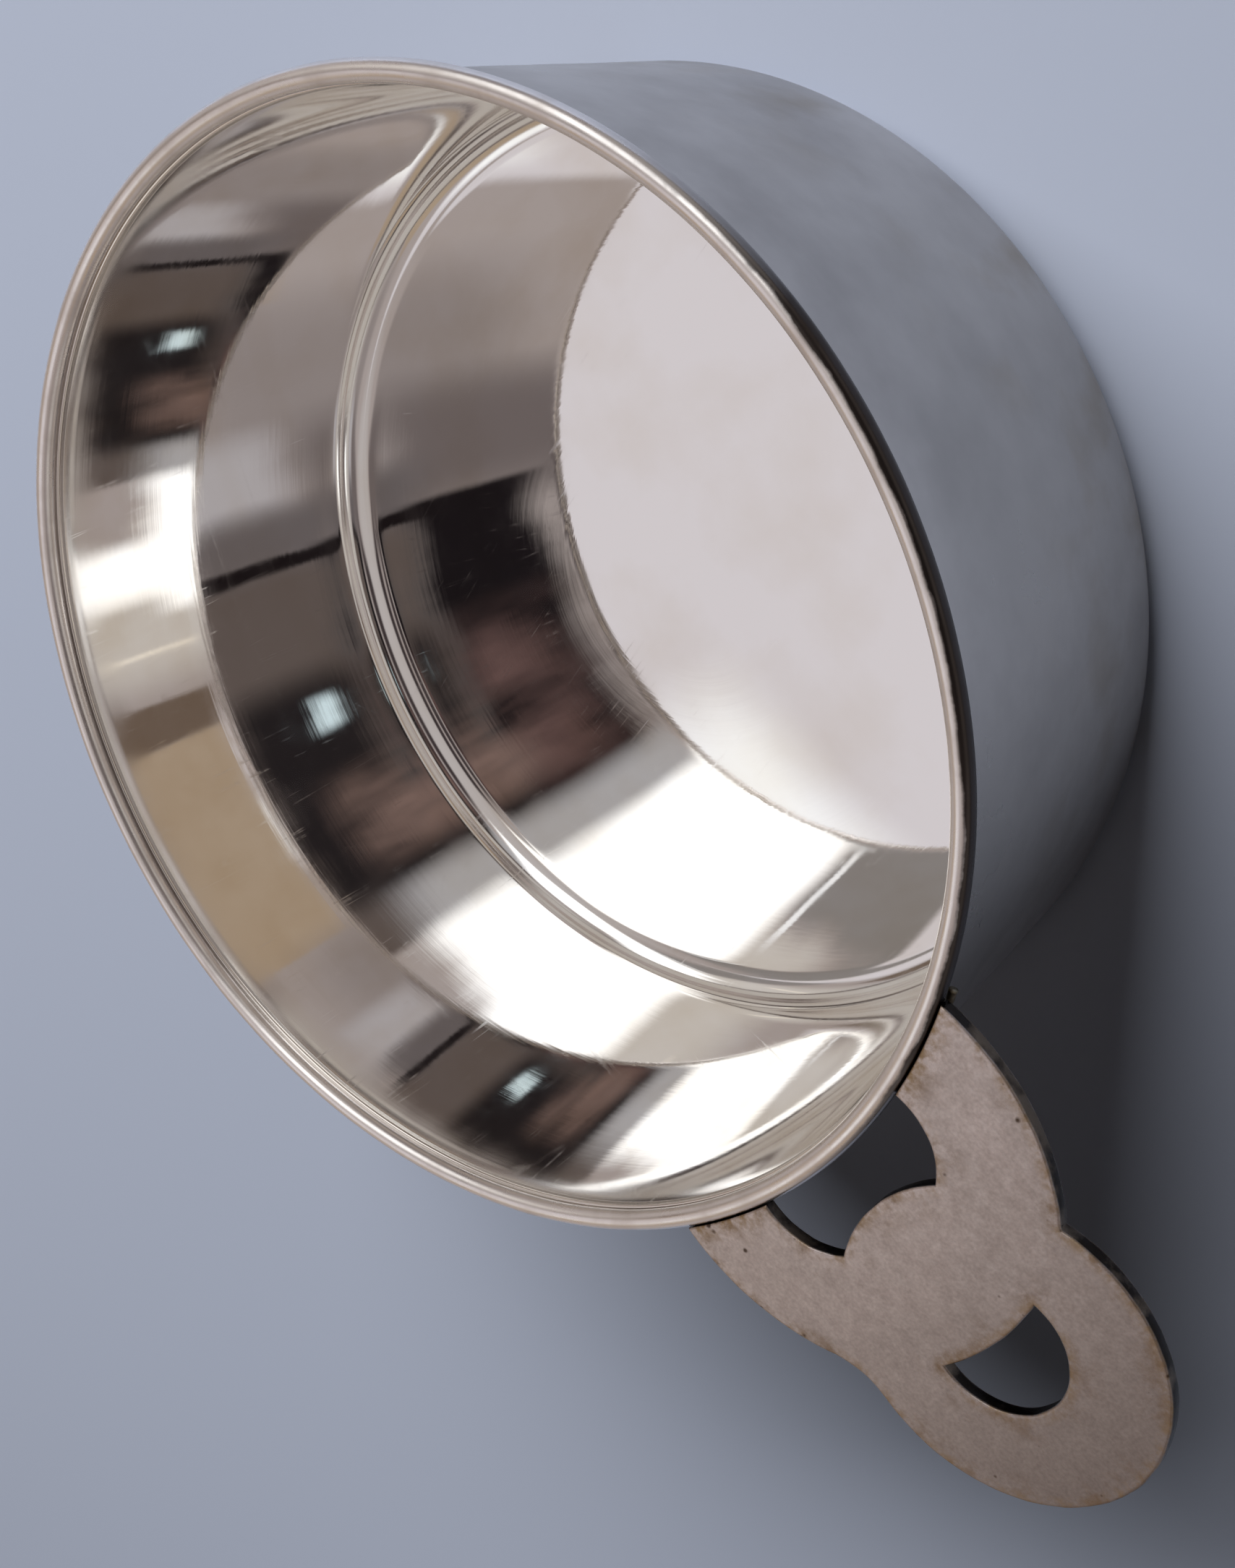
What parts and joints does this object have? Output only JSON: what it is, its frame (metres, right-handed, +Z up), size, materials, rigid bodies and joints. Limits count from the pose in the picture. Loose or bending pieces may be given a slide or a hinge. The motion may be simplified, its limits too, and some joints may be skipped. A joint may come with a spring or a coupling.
{
  "type": "porringer",
  "caption": "Shallow silver porringer: straight-sided round bowl with a wire-edged rim and one flat pierced handle, for porridge or child's food.",
  "frame": {"origin": "middle of the object's box, on the table plane under the foot ring", "axes": "+X along the handle away from the bowl, +Z up out of the bowl"},
  "size_m": [0.1432, 0.108, 0.043],
  "materials": {
    "polished_silver": "spun silver polished to a mirror inside, satin outside",
    "drawn_silver_wire": "drawn silver wire, polished and handled",
    "worn_silver": "sawn silver sheet, dulled by handling, light brown tarnish at edges",
    "silver_solder": "silver solder, slightly yellow and dull"
  },
  "bodies": {
    "root": {"bowl": "polished_silver", "rim_wire": "drawn_silver_wire", "handle": "worn_silver", "rim_solder": "silver_solder", "handle_solder_left": "silver_solder", "handle_solder_right": "silver_solder"}
  },
  "joints": []
}
